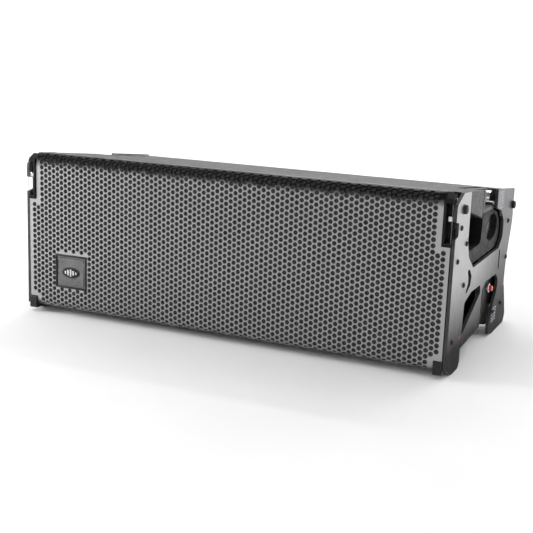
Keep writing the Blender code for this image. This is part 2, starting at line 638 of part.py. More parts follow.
def main():
    clear_scene()
    paint = make_material("textured_black_paint", (0.030, 0.031, 0.033), 0.62)
    wood = make_material("black_plywood", (0.045, 0.040, 0.036), 0.75)
    grille_steel = make_material("grille_paint", (0.060, 0.060, 0.062), 0.42, 0.4)
    foam = make_material("grey_foam", (0.070, 0.070, 0.072), 0.95)
    plastic = make_material("black_plastic", (0.020, 0.020, 0.021), 0.45)
    frame_steel = make_material("satin_frame_steel", (0.360, 0.362, 0.366), 0.32, 0.85)
    black_steel = make_material("blackened_steel", (0.020, 0.020, 0.021), 0.38, 0.7)
    bright_steel = make_material("bright_steel", (0.620, 0.620, 0.610), 0.18, 1.0)
    grip_rubber = make_material("grip_rubber", (0.018, 0.018, 0.018), 0.65)
    red = make_material("red_button", (0.750, 0.030, 0.020), 0.30)
    paper = make_material("cone_paper", (0.022, 0.022, 0.024), 0.80)
    magnet_steel = make_material("magnet_steel", (0.120, 0.120, 0.125), 0.50, 0.6)
    aluminium = make_material("black_aluminium", (0.035, 0.035, 0.037), 0.40, 0.8)
    board_green = make_material("board_green", (0.020, 0.130, 0.050), 0.50)
    copper = make_material("copper_winding", (0.500, 0.210, 0.090), 0.35, 0.9)
    blue = make_material("inlet_blue", (0.030, 0.110, 0.420), 0.35)
    grey = make_material("outlet_grey", (0.420, 0.430, 0.440), 0.40)
    lens_green = make_material("lens_green", (0.080, 0.600, 0.150), 0.15)

    build_cabinet(paint)
    build_baffle(wood)
    build_braces(wood)
    build_grille(grille_steel, foam)
    build_badge(plastic)
    build_corners(plastic)
    build_frames(frame_steel, black_steel)
    build_cups(plastic)
    build_grips(grip_rubber)
    build_channels(black_steel)
    build_links(bright_steel)
    build_receivers(plastic)
    build_release_pins(bright_steel, red)
    build_plungers(bright_steel)
    build_woofers(magnet_steel, paper, grip_rubber, magnet_steel)
    build_high_unit(plastic, magnet_steel)
    build_amplifier(aluminium, board_green, copper)
    build_connectors(blue, grey, plastic)
    build_controls(plastic, lens_green)

    root = bpy.data.objects.new("line_array_module", None)
    bpy.context.collection.objects.link(root)
    for obj in bpy.data.objects:
        if obj.type == "MESH":
            obj.parent = root


main()
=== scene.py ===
import math

import bmesh
import bpy
from mathutils import Matrix, Vector


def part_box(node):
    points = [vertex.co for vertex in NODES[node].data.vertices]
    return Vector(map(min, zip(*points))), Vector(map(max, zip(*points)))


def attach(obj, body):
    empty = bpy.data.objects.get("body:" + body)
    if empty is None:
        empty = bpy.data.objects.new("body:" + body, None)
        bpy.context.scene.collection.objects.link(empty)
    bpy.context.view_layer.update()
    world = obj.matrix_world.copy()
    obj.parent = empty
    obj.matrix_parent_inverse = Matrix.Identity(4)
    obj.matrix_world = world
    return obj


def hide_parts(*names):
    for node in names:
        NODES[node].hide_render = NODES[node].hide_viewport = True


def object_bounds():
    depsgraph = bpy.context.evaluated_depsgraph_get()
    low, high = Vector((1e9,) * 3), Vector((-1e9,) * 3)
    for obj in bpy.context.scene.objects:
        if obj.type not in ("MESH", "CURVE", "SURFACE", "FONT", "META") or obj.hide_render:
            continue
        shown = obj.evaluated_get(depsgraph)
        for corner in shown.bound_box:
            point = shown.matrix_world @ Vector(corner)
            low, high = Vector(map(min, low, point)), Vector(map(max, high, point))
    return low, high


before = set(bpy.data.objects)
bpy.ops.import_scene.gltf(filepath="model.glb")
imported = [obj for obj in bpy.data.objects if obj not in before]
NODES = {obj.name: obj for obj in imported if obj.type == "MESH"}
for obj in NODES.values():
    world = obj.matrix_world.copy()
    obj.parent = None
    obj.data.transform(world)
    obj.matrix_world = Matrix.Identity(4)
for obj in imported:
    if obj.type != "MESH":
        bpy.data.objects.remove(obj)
cad_low, cad_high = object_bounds()

SIDES = (("left", -1), ("right", 1))
FRONT = cad_low.y
PLATE_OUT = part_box("rigging_frame_right")[1].x
SHARP = math.radians(35)


def at(depth):
    """World y of a depth behind the front plane."""
    return FRONT + depth


# Node trees


def surface(name, color, roughness, metallic=0.0, coat=0.0, specular=0.5):
    """A Principled material whose constant values sit on the shader's own sockets."""
    material = bpy.data.materials.new(name)
    material.use_nodes = True
    shader = material.node_tree.nodes["Principled BSDF"]
    shader.inputs["Base Color"].default_value = (*color, 1.0)
    shader.inputs["Roughness"].default_value = roughness
    shader.inputs["Metallic"].default_value = metallic
    shader.inputs["Specular IOR Level"].default_value = specular
    shader.inputs["Coat Weight"].default_value = coat
    shader.inputs["Coat Roughness"].default_value = 0.2
    return material


def add(material, kind, **inputs):
    """Adds a node and sets its inputs, named in lower case with _ for spaces."""
    node = material.node_tree.nodes.new(kind)
    for name, value in inputs.items():
        node.inputs[name.replace("_", " ").title()].default_value = value
    return node


def join(material, output, node, name):
    material.node_tree.links.new(output, node.inputs[name])


def place(material, stretch=(1.0, 1.0, 1.0)):
    """Object coordinates in metres, stretched for grain that runs one way."""
    coordinates = add(material, "ShaderNodeTexCoord")
    mapping = add(material, "ShaderNodeMapping", scale=stretch)
    join(material, coordinates.outputs["Object"], mapping, "Vector")
    return mapping.outputs["Vector"]


def noise(material, scale, detail=3.0, roughness=0.55, stretch=(1.0, 1.0, 1.0)):
    texture = add(material, "ShaderNodeTexNoise", scale=scale, detail=detail, roughness=roughness)
    join(material, place(material, stretch), texture, "Vector")
    return texture.outputs["Fac"]


def cells(material, scale, feature="F1"):
    texture = add(material, "ShaderNodeTexVoronoi")
    texture.feature = feature
    texture.inputs["Scale"].default_value = scale
    join(material, place(material), texture, "Vector")
    return texture.outputs["Distance"]


def spread(material, factor, low, high, start=0.3, end=0.7):
    """Maps a pattern's middle range onto low..high."""
    node = add(material, "ShaderNodeMapRange")
    for i, value in enumerate((start, end, low, high)):
        node.inputs[i + 1].default_value = value
    join(material, factor, node, "Value")
    return node.outputs["Result"]


def tint(material, factor, dark, light, start=0.35, end=0.65):
    """Colours the surface between two colours by a pattern."""
    ramp = material.node_tree.nodes.new("ShaderNodeValToRGB")
    ramp.color_ramp.elements[0].position = start
    ramp.color_ramp.elements[1].position = end
    ramp.color_ramp.elements[0].color = (*dark, 1.0)
    ramp.color_ramp.elements[1].color = (*light, 1.0)
    join(material, factor, ramp, "Fac")
    shader = material.node_tree.nodes["Principled BSDF"]
    join(material, ramp.outputs["Color"], shader, "Base Color")


def height_of(material):
    """Object height in metres, broken up by a little noise."""
    split = add(material, "ShaderNodeSeparateXYZ")
    join(material, place(material), split, "Vector")
    blend = add(material, "ShaderNodeMath")
    blend.operation = "MULTIPLY_ADD"
    blend.inputs[1].default_value = 0.016
    join(material, noise(material, 55.0, 5.0), blend, 0)
    join(material, split.outputs["Z"], blend, 2)
    return blend.outputs["Value"]


def gloss(material, factor, low, high):
    shader = material.node_tree.nodes["Principled BSDF"]
    join(material, spread(material, factor, low, high), shader, "Roughness")


def relief(material, *layers):
    """Stacks bumps, each a (pattern, depth in metres)."""
    shader = material.node_tree.nodes["Principled BSDF"]
    before = None
    for pattern, depth in layers:
        bump = add(material, "ShaderNodeBump", strength=1.0, distance=depth)
        join(material, pattern, bump, "Height")
        if before:
            join(material, before.outputs["Normal"], bump, "Normal")
        before = bump
    join(material, before.outputs["Normal"], shader, "Normal")


def grey(value, warmth=0.0):
    return (value * (1.0 + warmth), value, value * (1.0 - warmth))


# Materials


def textured_paint():
    """Sprayed polyurea: pebbled grains a millimetre or two across, scuffed a little lighter."""
    material = surface("cabinet_paint", grey(0.07), 0.5, specular=0.3)
    pebbles = cells(material, 520.0)
    grain = noise(material, 1500.0, 2.0)
    tint(material, noise(material, 300.0, 4.0, 0.7), grey(0.018), grey(0.085))
    gloss(material, noise(material, 60.0), 0.36, 0.52)
    relief(material, (pebbles, 0.0005), (grain, 0.00015))
    return material


def plywood():
    """Black-stained birch, its grain running along the board."""
    material = surface("plywood", grey(0.04), 0.7)
    grain = noise(material, 40.0, 6.0, 0.6, (1.0, 12.0, 18.0))
    tint(material, grain, (0.022, 0.019, 0.016), (0.070, 0.058, 0.046))
    gloss(material, grain, 0.6, 0.8)
    relief(material, (grain, 0.0002))
    return material


def powder_coat(name, value, roughness, metallic, peel=0.00006):
    """Smooth powder coat with a faint orange peel and handling marks."""
    material = surface(name, grey(value), roughness, metallic)
    marks = noise(material, 26.0, 6.0, 0.65)
    tint(material, marks, grey(value * 0.82), grey(value * 1.2))
    gloss(material, marks, roughness - 0.06, roughness + 0.08)
    relief(material, (noise(material, 900.0, 2.0), peel))
    return material


def grille_coat_with_painted_shade(low, high):
    """Satin coat with painted shade: grey on the flat face, painted near black on the rolled edges; low and
    high bound the flat.
    """
    material = surface("grille_paint", grey(0.30), 0.34, 0.85)
    height = height_of(material)
    middle = add(material, "ShaderNodeMath")
    middle.operation = "SUBTRACT"
    middle.inputs[1].default_value = (low + high) / 2
    join(material, height, middle, 0)
    away = add(material, "ShaderNodeMath")
    away.operation = "ABSOLUTE"
    join(material, middle.outputs["Value"], away, 0)
    half = (high - low) / 2
    # painted shade: the colour fades from grey on the flat face to near black on the rolled top and bottom
    tint(material, spread(material, away.outputs["Value"], 0.0, 1.0, half, half + 0.011),
         grey(0.35), grey(0.006), 0.0, 1.0)
    gloss(material, noise(material, 26.0, 6.0, 0.65), 0.28, 0.42)
    relief(material, (noise(material, 900.0, 2.0), 0.00006))
    return material


def open_foam():
    """Open-cell foam: pores a millimetre or so across with paler walls."""
    material = surface("foam", grey(0.08), 0.95, specular=0.1)
    pores = cells(material, 560.0)
    tint(material, pores, grey(0.010), grey(0.085), 0.15, 0.75)
    gloss(material, noise(material, 90.0), 0.88, 1.0)
    relief(material, (pores, 0.0008), (noise(material, 150.0), 0.0006))
    return material


def moulded_plastic(name, value, roughness, grain=0.00012, specular=0.28):
    """Spark-eroded mould texture under a thin sheen, with faint flow marks."""
    material = surface(name, grey(value), roughness, 0.0, 0.04, specular)
    flow = noise(material, 18.0, 3.0, 0.5, (1.0, 1.0, 2.5))
    tint(material, flow, grey(value * 0.75), grey(value * 1.35))
    gloss(material, noise(material, 240.0, 4.0), roughness - 0.08, roughness + 0.1)
    relief(material, (noise(material, 1300.0, 2.0), grain))
    return material


def satin_steel_with_painted_shade():
    """Satin-coated plate: grey with a fine sprayed grain, with painted shade darkening it at the foot and
    towards the back.
    """
    material = surface("frame_steel", grey(0.36), 0.34, 0.85)
    shader = material.node_tree.nodes["Principled BSDF"]
    shader.inputs["Specular Tint"].default_value = (*grey(0.4), 1.0)
    rubs = noise(material, 34.0, 7.0, 0.7, (1.0, 1.0, 0.5))
    # painted shade: the colour darkens towards the foot of the frame and towards its back, the two fades
    # multiplied
    shade = add(material, "ShaderNodeMath")
    shade.operation = "MULTIPLY"
    join(material, spread(material, height_of(material), 0.0, 1.0, 0.050, 0.180), shade, 0)
    split = add(material, "ShaderNodeSeparateXYZ")
    join(material, place(material), split, "Vector")
    join(material, spread(material, split.outputs["Y"], 1.0, 0.45, at(0.18), at(0.34)), shade, 1)
    tint(material, shade.outputs["Value"], grey(0.030), grey(0.67), 0.0, 1.0)
    gloss(material, rubs, 0.28, 0.42)
    relief(material, (noise(material, 1100.0, 3.0), 0.00005))
    return material


def bright_metal(name, value, roughness, stretch):
    """Drawn and plated steel with fine lines along its length."""
    material = surface(name, grey(value), roughness, 1.0)
    lines = noise(material, 300.0, 4.0, 0.6, stretch)
    tint(material, noise(material, 45.0, 5.0), grey(value * 0.85), grey(value * 1.1))
    gloss(material, lines, roughness * 0.7, roughness * 1.5)
    relief(material, (lines, 0.00004))
    return material


def blackened_steel():
    material = surface("black_steel", grey(0.01), 0.36, 0.0, 0.0, 0.35)
    scale = noise(material, 120.0, 6.0, 0.7)
    tint(material, scale, grey(0.005), grey(0.016))
    gloss(material, scale, 0.28, 0.5)
    relief(material, (noise(material, 700.0, 3.0), 0.00006))
    return material


def soft_grip():
    """Overmoulded grip with a pebbled skin."""
    material = surface("grip_rubber", grey(0.01), 0.6, specular=0.2)
    pebbles = cells(material, 900.0)
    tint(material, noise(material, 30.0, 4.0), grey(0.004), grey(0.010))
    gloss(material, noise(material, 80.0), 0.45, 0.65)
    relief(material, (pebbles, 0.00018))
    return material


def glossy(name, color, roughness=0.22):
    """Injection-moulded gloss plastic with a hint of sink marks."""
    material = surface(name, color, roughness, 0.0, 0.6)
    waves = noise(material, 120.0, 3.0)
    darker = tuple(0.8 * c for c in color)
    tint(material, waves, darker, color)
    gloss(material, waves, roughness * 0.8, roughness * 1.4)
    relief(material, (waves, 0.00005))
    return material


def woven_paper():
    """Treated cone pulp with short fibres."""
    material = surface("cone_paper", grey(0.03), 0.85)
    fibres = noise(material, 260.0, 7.0, 0.75, (1.0, 3.0, 1.0))
    tint(material, fibres, grey(0.015), grey(0.05))
    gloss(material, fibres, 0.75, 0.92)
    relief(material, (fibres, 0.0002))
    return material


def circuit_green():
    material = surface("board", (0.02, 0.13, 0.05), 0.45, 0.0, 0.4)
    tracks = cells(material, 160.0, "DISTANCE_TO_EDGE")
    tint(material, tracks, (0.030, 0.200, 0.080), (0.012, 0.085, 0.034), 0.02, 0.08)
    gloss(material, tracks, 0.35, 0.5)
    relief(material, (tracks, 0.0001))
    return material


def copper_wire():
    material = surface("copper", (0.50, 0.21, 0.09), 0.32, 0.9)
    turns = noise(material, 420.0, 2.0, 0.5, (1.0, 6.0, 1.0))
    tint(material, turns, (0.28, 0.10, 0.04), (0.62, 0.27, 0.12))
    gloss(material, turns, 0.25, 0.45)
    relief(material, (turns, 0.0003))
    return material


def status_glow():
    material = glossy("lens", (0.08, 0.60, 0.15), 0.12)
    shader = material.node_tree.nodes["Principled BSDF"]
    shader.inputs["Emission Color"].default_value = (0.10, 0.90, 0.25, 1.0)
    shader.inputs["Emission Strength"].default_value = 0.8
    return material


def pale_floor():
    material = surface("studio_floor", grey(0.90), 0.85)
    tint(material, noise(material, 3.0, 3.0), grey(0.89), grey(0.91))
    gloss(material, noise(material, 6.0), 0.8, 0.9)
    return material


# Meshes


def new_piece(name, bm, material, body="cabinet", smooth=True):
    """Makes a closed bmesh a named piece that rides on a body."""
    bmesh.ops.recalc_face_normals(bm, faces=bm.faces)
    mesh = bpy.data.meshes.new(name)
    bm.to_mesh(mesh)
    bm.free()
    mesh.materials.append(material)
    if smooth:
        mesh.shade_smooth()
        mesh.set_sharp_from_angle(angle=SHARP)
    piece = bpy.data.objects.new(name, mesh)
    bpy.context.scene.collection.objects.link(piece)
    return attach(piece, body)


def dress(node, material, bevel=0.0, segments=2, cut_edge=None):
    """Gives a CAD node its finish, and rounds its edges where a bevel is named.

    A plate cut in the side plane can have another finish on its cut edge.
    """
    piece = NODES[node]
    piece.data.materials.clear()
    piece.data.materials.append(material)
    if cut_edge:
        piece.data.materials.append(cut_edge)
        for face in piece.data.polygons:
            face.material_index = 0 if abs(face.normal.x) > 0.5 else 1
    piece.data.shade_smooth()
    if bevel:
        weld = piece.modifiers.new("weld", "WELD")
        weld.merge_threshold = 0.00001
        flat = piece.modifiers.new("flatten", "DECIMATE")
        flat.decimate_type = "DISSOLVE"
        flat.angle_limit = math.radians(0.5)
        round_off = piece.modifiers.new("round", "BEVEL")
        round_off.width = bevel
        round_off.segments = segments
        round_off.limit_method = "ANGLE"
        round_off.angle_limit = SHARP
    weighted = piece.modifiers.new("normals", "WEIGHTED_NORMAL")
    weighted.weight = 60


def ring(bm, centre, across, up, radii, count):
    """A ring of vertices; radii is one radius or a function of the angle."""
    turn = 2 * math.pi / count
    points = []
    for i in range(count):
        radius = radii(i * turn) if callable(radii) else radii
        points.append(bm.verts.new(centre + radius * (across * math.cos(i * turn) + up * math.sin(i * turn))))
    return points


def skin(bm, rings, cap=True):
    """Joins rings in turn with quads and closes both ends."""
    count = len(rings[0])
    for low, high in zip(rings, rings[1:]):
        for i in range(count):
            j = (i + 1) % count
            bm.faces.new((low[i], low[j], high[j], high[i]))
    if cap:
        bm.faces.new(rings[0])
        bm.faces.new(rings[-1])


def screw(bm, centre, outward, radius, height, count=24):
    """A button-head screw with a hexagon socket, its head standing on a surface."""
    outward = Vector(outward).normalized()
    across = outward.orthogonal().normalized()
    up = outward.cross(across)
    base = Vector(centre)
    key = radius * 0.42

    def socket(angle):
        return key / math.cos((angle + math.pi / 6) % (math.pi / 3) - math.pi / 6)

    rings = [ring(bm, base, across, up, radius, count)]
    for share, lift in ((1.0, 0.35), (0.92, 0.72), (0.74, 0.94), (0.56, 1.0)):
        rings.append(ring(bm, base + outward * height * lift, across, up, radius * share, count))
    rings.append(ring(bm, base + outward * height, across, up, socket, count))
    rings.append(ring(bm, base + outward * height * 0.3, across, up, socket, count))
    skin(bm, rings)


def rounded_box(bm, low, high, bevel, segments=2):
    """A box between two corners with its edges rounded."""
    made = bmesh.ops.create_cube(bm, size=1.0)
    middle = (Vector(low) + Vector(high)) / 2
    size = Vector(high) - Vector(low)
    for vertex in made["verts"]:
        vertex.co = Vector([c * s + m for c, s, m in zip(vertex.co, size, middle)])
    edges = {edge for vertex in made["verts"] for edge in vertex.link_edges}
    bmesh.ops.bevel(bm, geom=list(edges), offset=bevel, segments=segments, affect="EDGES", profile=0.5)


def half_round(bm, foot, top, outward, radius, count=10):
    """A half-round rib from foot to top, standing proud of a wall towards outward."""
    foot, top = Vector(foot), Vector(top)
    along = (top - foot).normalized()
    outward = Vector(outward)
    across = along.cross(outward)
    turn = math.pi / count
    rings = []
    for centre, share in ((foot, 0.55), (foot + along * radius * 0.5, 1.0), (top - along * radius * 0.5, 1.0),
                          (top, 0.55)):
        ways = [across * math.cos(i * turn) + outward * math.sin(i * turn) for i in range(count + 1)]
        rings.append([bm.verts.new(centre + share * radius * way) for way in ways])
    skin(bm, rings)


# Grille

PITCH = 0.01086                         # between holes down a column
COLUMN = PITCH * math.sqrt(3) / 2       # between columns
COLUMNS = 91
FIRST_HOLE = 0.2076                     # height of a hole in the odd columns
HOLE_FRONT = 0.00465                    # hole radius at the face
HOLE_BACK = 0.00430                     # hole radius at the back of the sheet
ROLL = 0.018                            # radius of the rolled top and bottom
SHEET = 0.0015
FOAM_FRONT = 0.0027                     # how far the foam lies behind the face of the sheet
FOAM_BACK = 0.0090


def bend(across, along, sunk, low, high):
    """Places a point of the flat sheet on the rolled grille; sunk is its depth in the sheet."""
    middle = (low.z + high.z) / 2
    flat = (high.z - low.z) / 2 - ROLL
    beyond = max(abs(along) - flat, 0.0)
    angle = beyond / ROLL
    way = math.copysign(1.0, along)
    reach = min(abs(along), flat) + (ROLL - sunk) * math.sin(angle)
    return Vector((across, low.y + ROLL - (ROLL - sunk) * math.cos(angle), middle + way * reach))


def thicken(bm, shape, front, back, holes=None):
    """Turns a flat sheet into a closed one whose two faces lie front and back deep in a shape."""
    faces = bm.faces[:]
    rims = [edge for edge in bm.edges if len(edge.link_faces) == 1]
    behind = {}
    for vertex in bm.verts[:]:
        spot = vertex.co.copy()
        if holes and vertex in holes:
            spot = holes[vertex] + (spot - holes[vertex]) * HOLE_BACK / HOLE_FRONT
        behind[vertex] = bm.verts.new(shape(spot, back))
    for vertex in behind:
        vertex.co = shape(vertex.co, front)
    for face in faces:
        bm.faces.new([behind[vertex] for vertex in reversed(face.verts)])
    for edge in rims:
        start, end = edge.verts
        bm.faces.new((start, end, behind[end], behind[start]))


def cut_window(bm, left, right, bottom, top):
    """Removes a rectangle from the flat sheet."""
    def near(face):
        xs = [v.co.x for v in face.verts]
        ys = [v.co.y for v in face.verts]
        return max(xs) > left and min(xs) < right and max(ys) > bottom and min(ys) < top

    for point, normal in (((left, 0, 0), (1, 0, 0)), ((right, 0, 0), (1, 0, 0)),
                          ((0, bottom, 0), (0, 1, 0)), ((0, top, 0), (0, 1, 0))):
        faces = [face for face in bm.faces if near(face)]
        edges = {edge for face in faces for edge in face.edges}
        corners = {vertex for face in faces for vertex in face.verts}
        bmesh.ops.bisect_plane(bm, geom=list(corners) + list(edges) + faces, dist=1e-7,
                               plane_co=point, plane_no=normal)
    inside = []
    for face in bm.faces:
        middle = face.calc_center_median()
        if left < middle.x < right and bottom < middle.y < top:
            inside.append(face)
    bmesh.ops.delete(bm, geom=inside, context="FACES")


def punched_sheet(half_width, half_length, windows, blank):
    """A flat sheet of hexagon cells, each with a round hole unless blank(x, y) says not."""
    bm = bmesh.new()
    corners = {}
    holes = {}

    def corner(x, y):
        key = (round(x * 1e5), round(y * 1e5))
        if key not in corners:
            corners[key] = bm.verts.new((x, y, 0.0))
        return corners[key]

    rows = int(half_length / PITCH) + 3
    middle = (COLUMNS - 1) / 2
    offset = FIRST_HOLE - GRILLE_MIDDLE
    for column in range(-1, COLUMNS + 1):
        x = (column - middle) * COLUMN
        shift = offset + (0.0 if column % 2 else PITCH / 2)
        for row in range(-rows - 4, rows):
            y = shift + row * PITCH
            if abs(y) > half_length + PITCH:
                continue
            hexagon = [corner(x + PITCH / math.sqrt(3) * math.cos(k * math.pi / 3),
                              y + PITCH / math.sqrt(3) * math.sin(k * math.pi / 3)) for k in range(6)]
            if column in (-1, COLUMNS) or blank(x, y):
                bm.faces.new(hexagon)
                continue
            hole = [bm.verts.new((x + HOLE_FRONT * math.cos(k * math.pi / 6),
                                  y + HOLE_FRONT * math.sin(k * math.pi / 6), 0.0)) for k in range(12)]
            for vertex in hole:
                holes[vertex] = Vector((x, y, 0.0))
            for k in range(6):
                here, following = hexagon[k], hexagon[(k + 1) % 6]
                arc = [hole[2 * k], hole[2 * k + 1], hole[(2 * k + 2) % 12]]
                bm.faces.new((here, arc[1], arc[0]))
                bm.faces.new((here, following, arc[1]))
                bm.faces.new((following, arc[2], arc[1]))
    for point, normal in (((half_width, 0, 0), (1, 0, 0)), ((-half_width, 0, 0), (-1, 0, 0)),
                          ((0, half_length, 0), (0, 1, 0)), ((0, -half_length, 0), (0, -1, 0))):
        geometry = bm.verts[:] + bm.edges[:] + bm.faces[:]
        bmesh.ops.bisect_plane(bm, geom=geometry, dist=1e-7, plane_co=point, plane_no=normal,
                               clear_outer=True)
    for window in windows:
        cut_window(bm, *window)
    return bm, holes


GRILLE_LOW, GRILLE_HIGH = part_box("front_grille")
GRILLE_MIDDLE = (GRILLE_LOW.z + GRILLE_HIGH.z) / 2


def build_grille(material):
    """The perforated sheet with real holes, rolled back along its top and bottom."""
    half_width = GRILLE_HIGH.x
    half_length = (GRILLE_HIGH.z - GRILLE_LOW.z) / 2 - ROLL + ROLL * math.pi / 2
    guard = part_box("corner_guard_right")[0]
    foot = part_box("corner_block_right")
    badge_low, badge_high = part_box("badge_plate")
    side_cut = guard.x - 0.0007
    upper_cut = guard.z - 0.0001 - GRILLE_MIDDLE
    lower_cut = foot[1].z + 0.0002 - GRILLE_MIDDLE
    badge = (badge_low.x - 0.0003, badge_high.x + 0.0003,
             badge_low.z - 0.0003 - GRILLE_MIDDLE, badge_high.z + 0.0003 - GRILLE_MIDDLE)
    windows = [badge]
    for low, high in ((side_cut, half_width + 0.01), (-half_width - 0.01, -side_cut)):
        windows.append((low, high, upper_cut, half_length + 0.01))
        windows.append((low, high, -half_length - 0.01, lower_cut))

    def blank(x, y):
        room = HOLE_FRONT + 0.0012
        if abs(y) > half_length - room or abs(x) > half_width - room:
            return True
        if abs(x) > side_cut - 1.4 * COLUMN and y > upper_cut - room:
            return True
        if abs(x) > side_cut - room and y < lower_cut + room:
            return True
        return badge[0] - room < x < badge[1] + room and badge[2] - room < y < badge[3] + room

    bm, holes = punched_sheet(half_width, half_length, windows, blank)
    thicken(bm, lambda spot, sunk: bend(spot.x, spot.y, sunk, GRILLE_LOW, GRILLE_HIGH), 0.0, SHEET, holes)
    piece = new_piece("grille_sheet", bm, material)
    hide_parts("front_grille")


def build_foam(material):
    """Acoustic foam a little behind the sheet, rolled with it and cut out round the guards and badge."""
    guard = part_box("corner_guard_right")[0]
    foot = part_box("corner_block_right")[1]
    badge_low, badge_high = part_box("badge_plate")
    half_width = GRILLE_HIGH.x - 0.001
    half_length = (GRILLE_HIGH.z - GRILLE_LOW.z) / 2 - ROLL + ROLL * math.pi / 2
    windows = [(badge_low.x - 0.001, badge_high.x + 0.001,
                badge_low.z - 0.001 - GRILLE_MIDDLE, badge_high.z + 0.001 - GRILLE_MIDDLE)]
    for left, right in ((guard.x - 0.001, half_width + 0.01), (-half_width - 0.01, 0.001 - guard.x)):
        windows.append((left, right, guard.z - 0.001 - GRILLE_MIDDLE, half_length + 0.01))
        windows.append((left, right, -half_length - 0.01, foot.z + 0.001 - GRILLE_MIDDLE))
    bm = bmesh.new()
    across, along = 12, 48
    grid = [[bm.verts.new((half_width * (2 * i / across - 1), half_length * (2 * j / along - 1), 0.0))
             for j in range(along + 1)] for i in range(across + 1)]
    for i in range(across):
        for j in range(along):
            bm.faces.new((grid[i][j], grid[i + 1][j], grid[i + 1][j + 1], grid[i][j + 1]))
    for window in windows:
        cut_window(bm, *window)
    thicken(bm, lambda spot, sunk: bend(spot.x, spot.y, sunk, GRILLE_LOW, GRILLE_HIGH), FOAM_FRONT, FOAM_BACK)
    piece = new_piece("foam_sheet", bm, material)
    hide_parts("grille_foam")


def build_badge(dark, silver, bright):
    """A silver tile with a flat head and a crowned field, in a dark rim, with plain bars in an oval."""
    low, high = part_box("badge_plate")
    middle = (low + high) / 2
    rim = 0.0028
    bm = bmesh.new()
    for a, b, c, d in ((low.x - rim, low.z - rim, high.x + rim, low.z + 0.001),
                       (low.x - rim, high.z - 0.001, high.x + rim, high.z + rim),
                       (low.x - rim, low.z + 0.001, low.x + 0.001, high.z - 0.001),
                       (high.x - 0.001, low.z + 0.001, high.x + rim, high.z - 0.001)):
        rounded_box(bm, (a, at(0.0012), b), (c, at(0.0036), d), 0.0006)
    new_piece("badge_rim", bm, dark)

    half_x = (high.x - low.x) / 2 - 0.0042
    foot, top = low.z + 0.0042, high.z - 0.0042
    head = 0.0060
    profile = [(0.0095, top), (0.0022, top), (0.0022, top - head), (0.0046, top - head)]
    field = top - head - foot
    steps = 14
    for i in range(1, steps + 1):
        share = i / steps
        profile.append((0.0046 - 0.0026 * math.sin(math.pi * share * 0.62), top - head - field * share))
    profile.append((0.0095, foot))
    bm = bmesh.new()
    skin(bm, [[bm.verts.new((middle.x + side * half_x, at(depth), height)) for depth, height in profile]
              for side in (-1, 1)])
    new_piece("badge_face", bm, silver)

    crest = 0.0046 - 0.0026
    bm = bmesh.new()
    centre = Vector((middle.x, at(crest + 0.0002), middle.z - 0.0015))
    across, up = Vector((1, 0, 0)), Vector((0, 0, 0.52))
    rings = [ring(bm, centre + Vector((0, 0.0020 - lift, 0)), across, up, radius, 40)
             for radius, lift in ((0.0215, 0.0), (0.0215, 0.0018), (0.0205, 0.0024))]
    skin(bm, rings)
    new_piece("badge_oval", bm, dark)
    bm = bmesh.new()
    for i, height in enumerate((0.006, 0.011, 0.015, 0.009, 0.005)):
        x = centre.x + (i - 2) * 0.0062
        rounded_box(bm, (x - 0.0018, centre.y - 0.0012, centre.z - height / 2),
                    (x + 0.0018, centre.y + 0.0006, centre.z + height / 2), 0.0004)
    new_piece("badge_bars", bm, bright)


def build_lips(steel, seal):
    """The cabinet's bright front lip above the grille, with a dark seal behind it."""
    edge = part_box("corner_guard_right")[0].x - 0.001
    top = GRILLE_HIGH.z
    bm = bmesh.new()
    rounded_box(bm, (-edge, at(0.0218), top - 0.0040), (edge, at(0.0242), top - 0.0001), 0.0006)
    new_piece("top_lip", bm, steel)
    bm = bmesh.new()
    rounded_box(bm, (-edge, at(0.0244), top - 0.0045), (edge, at(0.0300), top - 0.0009), 0.0008)
    new_piece("top_seal", bm, seal)


def build_guard_ribs(inner_material, outer_material):
    """The rounded lips that run down both sides of each corner guard's opening."""
    for side, sign in SIDES:
        low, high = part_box("corner_guard_" + side)
        inner = min(abs(low.x), abs(high.x)) + 0.0012
        outer = max(abs(low.x), abs(high.x)) - 0.0007
        for name, x, material in (("inner", inner, inner_material), ("outer", outer, outer_material)):
            bm = bmesh.new()
            half_round(bm, (sign * x, at(0.0008), low.z + 0.004), (sign * x, at(0.0008), high.z - 0.018),
                       (0, -1, 0), 0.0006)
            new_piece("guard_lip_%s_%s" % (name, side), bm, material)


# Rigging details

# Depth and height on the side frames, and for the blocks of ticks the number of rows
FRAME_SCREWS = ((0.039, 0.264), (0.082, 0.230), (0.028, 0.207), (0.083, 0.155), (0.031, 0.063),
                (0.336, 0.248), (0.421, 0.222), (0.427, 0.146), (0.414, 0.051), (0.344, 0.048))
INDEX_DOTS = ((0.0875, 0.2375), (0.083, 0.058), (0.4240, 0.088))
TICK_BLOCKS = ((0.330, 0.290, 6), (0.340, 0.052, 5))


def build_frame_screws(material):
    for side, sign in SIDES:
        bm = bmesh.new()
        for depth, height in FRAME_SCREWS:
            screw(bm, (sign * PLATE_OUT, at(depth), height), (sign, 0, 0), 0.0048, 0.0030)
        new_piece("frame_screws_" + side, bm, material)


def build_cup_ribs(material):
    """Upright half-round ribs moulded on the floor of each side pocket."""
    for side, sign in SIDES:
        low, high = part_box("side_cup_" + side)
        wall = 0.0028
        floor = sign * (min(abs(low.x), abs(high.x)) + wall)
        bm = bmesh.new()
        for i in range(8):
            depth = 0.093 + 0.0155 * i
            foot = 0.0600 + 0.05 * (depth - 0.080)
            top = 0.2500 - 0.126 * (depth - 0.100)
            half_round(bm, (floor, at(depth), foot), (floor, at(depth), top), (sign, 0, 0), 0.0052)
        new_piece("pocket_ribs_" + side, bm, material)


